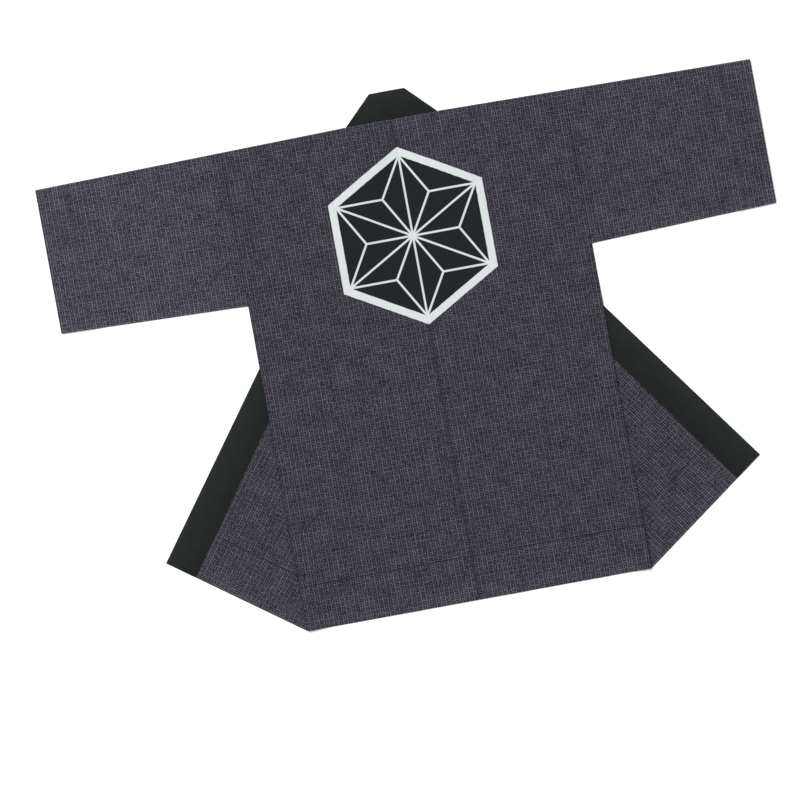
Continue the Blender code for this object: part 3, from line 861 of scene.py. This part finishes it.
CHECK_STEPS = (
    ("squares_x", "DIVIDE", "across", CHECK_ACROSS),
    ("squares_y", "DIVIDE", "along", CHECK_ALONG),
    ("edge_x", "PINGPONG", "squares_x", 0.5),
    ("edge_y", "PINGPONG", "squares_y", 0.5),
    ("middle_x", "SUBTRACT", 0.5, "edge_x"),
    ("middle_y", "SUBTRACT", 0.5, "edge_y"),
    ("count_x", "FLOOR", "squares_x"),
    ("count_y", "FLOOR", "squares_y"),
    ("count", "ADD", "count_x", "count_y"),
    ("turned", "PINGPONG", "count", 1.0),
    # Lines along the cloth split the squares that aren't turned, lines across it the others.
    ("far_split_x", "ADD", "middle_x", "turned"),
    ("split_x", "ADD", "far_split_x", SPLIT_THINNER),
    ("upright", "SUBTRACT", 1.0 + SPLIT_THINNER, "turned"),
    ("split_y", "ADD", "middle_y", "upright"),
    ("line_x", "MINIMUM", "edge_x", "split_x"),
    ("line_y", "MINIMUM", "edge_y", "split_y"),
    ("ragged_x", "MULTIPLY_ADD", "weft_yarn", RAGGED, "line_x"),
    ("ragged_y", "MULTIPLY_ADD", "warp_yarn", RAGGED, "line_y"),
    ("lean", "SUBTRACT", "weft_yarn", "warp_yarn"),
    ("straw", "MULTIPLY_ADD", "turned", "lean", "warp_yarn"),
)
SEAM_SHADE_LINES = (
    # Centre back, armhole, cuff and hem: measured by, at, and how far from it the cloth is painted
    # dark with shade.
    ("out", 0.0, 2.1),
    ("out", HALF_BODY, 1.2),
    ("out", CUFF_SEAM, 0.8),
    ("run", HEM_SEAM, 1.6),
)
BADGE_STEPS = (
    # A hexagon with corners up and down has six like wedges, each folded onto half of one.
    ("up", "SUBTRACT", "along", BADGE_Y),
    ("angle", "ARCTAN2", "up", "across"),
    ("wedge", "PINGPONG", "angle", math.pi / 6.0),
    ("far_x", "MULTIPLY", "across", "across"),
    ("far_xy", "MULTIPLY_ADD", "up", "up", "far_x"),
    ("far", "SQRT", "far_xy"),
    ("cosine", "COSINE", "wedge"),
    ("sine", "SINE", "wedge"),
    ("out_x", "MULTIPLY", "far", "cosine"),
    ("out_y", "MULTIPLY", "far", "sine"),
    ("to_spoke", "SUBTRACT", math.pi / 6.0, "wedge"),
    ("spoke_sine", "SINE", "to_spoke"),
    ("spoke", "MULTIPLY", "far", "spoke_sine"),
    # A vein runs from the middle to the heart of each wedge, another from there to its corner.
    ("past_heart", "SUBTRACT", "out_x", BADGE_SIDE / math.sqrt(3.0)),
    ("beyond", "MAXIMUM", "past_heart", 0.0),
    ("beyond_2", "MULTIPLY", "beyond", "beyond"),
    ("vein_2", "MULTIPLY_ADD", "out_y", "out_y", "beyond_2"),
    ("slant_x", "MULTIPLY", "past_heart", math.sqrt(0.75)),
    ("slant", "MULTIPLY_ADD", "out_y", -0.5, "slant_x"),
    ("ahead_x", "MULTIPLY", "past_heart", -0.5),
    ("behind", "MULTIPLY_ADD", "out_y", -math.sqrt(0.75), "ahead_x"),
    ("before", "MAXIMUM", "behind", 0.0),
    ("before_2", "MULTIPLY", "before", "before"),
    ("slant_2", "MULTIPLY_ADD", "slant", "slant", "before_2"),
    ("veins_2", "MINIMUM", "vein_2", "slant_2"),
    ("vein", "SQRT", "veins_2"),
    ("line_away", "MINIMUM", "spoke", "vein"),
    ("off", "SUBTRACT", "waver", 0.5),
    ("rim", "MULTIPLY_ADD", "off", BADGE_WAVER, "out_x"),
)


def seam_steps():
    """Distance from the nearest seam, as a share of how far its painted shade reaches."""
    steps = [("out", "ABSOLUTE", "across"), ("run", "ABSOLUTE", "along")]
    for measure, place, dark in SEAM_SHADE_LINES:
        steps += (
            ("from_seam", "SUBTRACT", measure, place),
            ("seam_away", "ABSOLUTE", "from_seam"),
            ("seam_far", "DIVIDE", "seam_away", dark),
            ("near_seam", "MINIMUM", "near_seam", "seam_far"),
        )
    return tuple(steps)


def checked_cotton(name):
    material, tree, shader = new_material(name)
    in_mm = flat_cloth(tree)
    sides = add(tree, "SeparateXYZ", {0: in_mm})
    yarn = noise(tree, in_mm, 0.9, 3.0, 0.7)
    known = {
        "across": sides.outputs[0],
        "along": sides.outputs[1],
        "warp_yarn": noise(tree, in_mm, 1.0, 1.0, stretch=(2.1, 0.22)),
        "weft_yarn": noise(tree, in_mm, 1.0, 1.0, stretch=(0.22, 2.1)),
        "slub": noise(tree, in_mm, 1.0, 1.0, stretch=(0.33, 0.24)),
        "waver": noise(tree, in_mm, 0.12, 2.0),
        "patch": noise(tree, in_mm, 0.034, 4.0, 1.0),
        "warp": noise(tree, in_mm, 1.0, 2.0, stretch=(0.5, 0.02)),
        "weft": noise(tree, in_mm, 1.0, 2.0, stretch=(0.02, 0.5)),
        "fleck": stepped(tree, noise(tree, in_mm, 0.38, 1.0), 0.67, 0.75, 0.0, 1.0),
        # The tone carries the painted halo of light along the edges, and the sleeves' lighter
        # tone.
        "tone": add(tree, "Attribute", attribute_name="tone").outputs["Fac"],
        "yarn": yarn,
        "near_seam": 1.0,
    }
    worked_out(tree, known, CHECK_STEPS + seam_steps() + BADGE_STEPS)

    edge = LINE_HALF + RAGGED / 2.0
    known["warp_line"] = band(tree, known["ragged_x"], edge, LINE_SOFT)
    known["weft_line"] = band(tree, known["ragged_y"], edge, LINE_SOFT)
    # The dye's strength is a sum of noises, each with its gain, whose mean is 1.
    worked_out(tree, known, (
        ("weft_seen", "MULTIPLY", "weft_line", WEFT_LINES),
        ("line", "MAXIMUM", "warp_line", "weft_seen"),
        ("patches", "MULTIPLY_ADD", "patch", 2.4, -1.80),
        ("warps", "MULTIPLY_ADD", "warp", 0.60, "patches"),
        ("wefts", "MULTIPLY_ADD", "weft", 0.26, "warps"),
        ("straws", "MULTIPLY_ADD", "straw", 0.58, "wefts"),
        ("slubs", "MULTIPLY_ADD", "slub", 1.8, "straws"),
        ("flecked", "ADD", "slubs", "fleck"),
        ("shade", "MULTIPLY", "flecked", "tone"),
    ))
    pale = mixed(tree, "#42404a", "#5b5861", yarn)
    dark = mixed(tree, "#1c1b20", "#2d2b31", yarn)
    # Painted shade darkens the cloth along the seams and the lines of stitches.
    seam = stepped(tree, known["near_seam"], 0.15, 1.0, SEAM_SHADE, 1.0)
    dye_halo_and_seam_shade = add(tree, "Math", {0: known["shade"], 1: seam}, operation="MULTIPLY").outputs[0]
    check = scaled(tree, mixed(tree, dark, pale, known["line"]), dye_halo_and_seam_shade)

    apothem = BADGE_SIDE * math.sqrt(0.75)
    inside_white = band(tree, known["rim"], apothem + BADGE_EDGE, 0.5)
    known["black"] = band(tree, known["rim"], apothem, 0.5)
    known["white_line"] = band(tree, known["line_away"], BADGE_LINE, 0.4)
    worked_out(tree, known, (
        ("clear", "SUBTRACT", 1.0, "white_line"),
        ("ink", "MULTIPLY", "black", "clear"),
        ("ink_yarn", "MULTIPLY_ADD", "yarn", 0.10, 0.80),
        ("ink_straw", "MULTIPLY_ADD", "straw", 0.14, "ink_yarn"),
        ("ink_shade", "MULTIPLY_ADD", "warp", 0.16, "ink_straw"),
    ))
    badge = scaled(tree, mixed(tree, "#bbbfbf", "#1a1b1f", known["ink"]), known["ink_shade"])
    shown = mixed(tree, check, badge, inside_white)

    worked_out(tree, known, (
        ("rough", "MULTIPLY_ADD", "yarn", 0.5, "straw"),
        ("height", "MULTIPLY_ADD", "line", 0.35, "rough"),
    ))
    cloth_finish(tree, shader, shown, known["height"], roughness=0.95, specular=0.1, fuzz=0.5)
    print(name, len(tree.nodes), "nodes")
    return material


cotton = checked_cotton("checked_cotton")

# %% [markdown]
# The collar is plain-woven black cotton, pressed hard, a little smoother than the check and
# with the faint green that black dye leaves. It is painted darker beside its seam, as shade,
# and paler towards its folded free edge.

# %% Black collar cotton
def black_cotton(name):
    material, tree, shader = new_material(name)
    in_mm = flat_cloth(tree)
    # Noises along and across the band add up to the blend from the darker to the paler dye.
    known = {
        "yarn": noise(tree, in_mm, 1.1, 3.0, 0.65),
        "patch": noise(tree, in_mm, 0.02, 4.0, 0.9),
        "rib": noise(tree, in_mm, 1.0, 2.0, stretch=(0.03, 0.9)),
        "warp_yarn": noise(tree, in_mm, 1.0, 1.0, stretch=(0.3, 2.4)),
        "weft_yarn": noise(tree, in_mm, 1.0, 1.0, stretch=(2.4, 0.3)),
        "tone": add(tree, "Attribute", attribute_name="tone").outputs["Fac"],
    }
    worked_out(tree, known, (
        ("weave", "MAXIMUM", "warp_yarn", "weft_yarn"),
        ("ribs", "MULTIPLY_ADD", "rib", 0.30, -0.62),
        ("yarns", "MULTIPLY_ADD", "yarn", 0.30, "ribs"),
        ("weaves", "MULTIPLY_ADD", "weave", 0.70, "yarns"),
        ("mottle", "ADD", "patch", "weaves"),
    ))
    # The tone is painted shade beside the seam, fading out to the free edge.
    collar_dye_and_shade = scaled(tree, mixed(tree, "#101312", "#1f2423", known["mottle"]), known["tone"])
    cloth_finish(tree, shader, collar_dye_and_shade, known["weave"], roughness=0.9, specular=0.12, fuzz=0.45)
    print(name, len(tree.nodes), "nodes")
    return material


collar_cotton = black_cotton("black_collar_cotton")

# %% [markdown]
# The thread is black cotton too, with a slight shine that the cloth doesn't have.

# %% Black thread
def black_thread(name):
    material, tree, shader = new_material(name)
    wave = {"Vector": flat_cloth(tree), "Scale": 1.1, "Distortion": 1.0}
    twist = add(tree, "TexWave", wave, bands_direction="DIAGONAL").outputs[1]
    tree.links.new(mixed(tree, "#0f1010", "#1d1e20", twist), shader.inputs["Base Color"])
    shader.inputs["Roughness"].default_value = 0.7
    shader.inputs["Specular IOR Level"].default_value = 0.25
    return material


thread = black_thread("black_thread")

# %% [markdown]
# Each piece of cloth rides on the one rigid body, stands for its solid, takes its material, and
# says what it was cut to: a body length is 304 mm wide and runs from hem turn to hem turn, a
# sleeve is a plain oblong, and the collar strip is twice as wide as the finished band.

# %% Dress the frame
BODY_CUT = (HALF_BODY, 2.0 * (BODY_LENGTH + HEM_TURN))
BODY_AREA = (BODY_LENGTH + HEM_TURN) * (2.0 * HALF_BODY - NECK_HALF - COLLAR_FLARE / 2.0)
SLEEVE_CUT = (HALF_SPAN - HALF_BODY + CUFF_TURN, 2.0 * ARMHOLE_END)
COLLAR_CUT = (2.0 * COLLAR_AT_HEM, 2.0 * (NECK_HALF + BODY_LENGTH))
CUTS = {
    # node: flat width and length, flat area, what it lies on, material and its slot
    "body_left": (BODY_CUT, BODY_AREA, ("floor",), cotton, "checked_cotton"),
    "body_right": (BODY_CUT, BODY_AREA, ("floor",), cotton, "checked_cotton"),
    "sleeve_left": (SLEEVE_CUT, None, ("floor",), cotton, "checked_cotton"),
    "sleeve_right": (SLEEVE_CUT, None, ("floor",), cotton, "checked_cotton"),
    "collar": (COLLAR_CUT, None, ("floor", "body_left", "body_right"),
               collar_cotton, "black_collar_cotton"),
}
for node, (flat, area, rests_on, material, slot) in CUTS.items():
    piece = pieces[node]
    piece.data.materials.append(material)
    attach(piece, "root")
    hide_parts(node)
    sewn_on = [stitches[node]] if node in stitches else []
    for row in sewn_on:
        row.data.materials.append(thread)
        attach(row, "root")
    print(node, "cut", [round(side) for side in flat], "mm")

# %% [markdown]
# The light is a large soft panel high over the upper left and a pale, even surround, on a
# near-white table. The camera hangs over the coat and is turned, so that the coat lies slanted.

# %% Table, light and camera
PHOTO_SIZE = 800.0
MM_PER_PIXEL = 1.74
PHOTO_NECK = (391.5, 119.2)      # pixel of the middle of the back neck line
COAT_TILT = math.radians(10.4)
CAMERA_HEIGHT = 5.2
SENSOR_MM = 36.0
TABLE_SIZE = 30.0
TABLE_TOP = -0.0004      # metres, just under the lowest cloth
PANEL_SIZE = 4.0
PANEL_POWER = 640.0
PANEL_PLACE = (-2.2, 2.8, 7.0)
PANEL_TILT = (math.radians(-21.8), math.radians(-16.4), 0.0)
SURROUND = 0.62

bpy.ops.mesh.primitive_plane_add(size=TABLE_SIZE, location=(0.0, 0.0, TABLE_TOP))
floor = bpy.context.object
floor.name = "floor"
paper, paper_tree, paper_shader = new_material("studio_paper")
grain = add(paper_tree, "TexNoise", {"Scale": 3.0, "Detail": 2.0}).outputs[0]
tint = mixed(paper_tree, "#f2f2f2", "#f7f7f7", grain)
paper_tree.links.new(tint, paper_shader.inputs["Base Color"])
paper_shader.inputs["Roughness"].default_value = 0.9
floor.data.materials.append(paper)

panel = bpy.data.lights.new("soft_panel", "AREA")
panel.shape = "SQUARE"
panel.size = PANEL_SIZE
panel.energy = PANEL_POWER
lamp = bpy.data.objects.new("soft_panel", panel)
lamp.location = PANEL_PLACE
lamp.rotation_euler = PANEL_TILT
bpy.context.scene.collection.objects.link(lamp)

world = bpy.data.worlds.new("studio")
world.use_nodes = True
surround = world.node_tree.nodes["Background"]
surround.inputs["Color"].default_value = (1.0, 1.0, 1.0, 1.0)
surround.inputs["Strength"].default_value = SURROUND
bpy.context.scene.world = world
bpy.context.scene.view_settings.view_transform = "Standard"

right_mm = (PHOTO_SIZE / 2.0 - PHOTO_NECK[0]) * MM_PER_PIXEL
down_mm = (PHOTO_SIZE / 2.0 - PHOTO_NECK[1]) * MM_PER_PIXEL
centre_x = right_mm * math.cos(COAT_TILT) - down_mm * math.sin(COAT_TILT)
centre_y = NECK_Y - right_mm * math.sin(COAT_TILT) - down_mm * math.cos(COAT_TILT)
view = bpy.data.cameras.new("camera")
view.sensor_width = SENSOR_MM
view.lens = SENSOR_MM * CAMERA_HEIGHT / (PHOTO_SIZE * MM_PER_PIXEL * MM)
camera = bpy.data.objects.new("camera", view)
camera.location = (centre_x * MM, centre_y * MM, CAMERA_HEIGHT)
camera.rotation_euler = (0.0, 0.0, -COAT_TILT)
bpy.context.scene.collection.objects.link(camera)
bpy.context.scene.camera = camera
print("camera over", round(centre_x), round(centre_y), "mm, lens", round(view.lens), "mm")
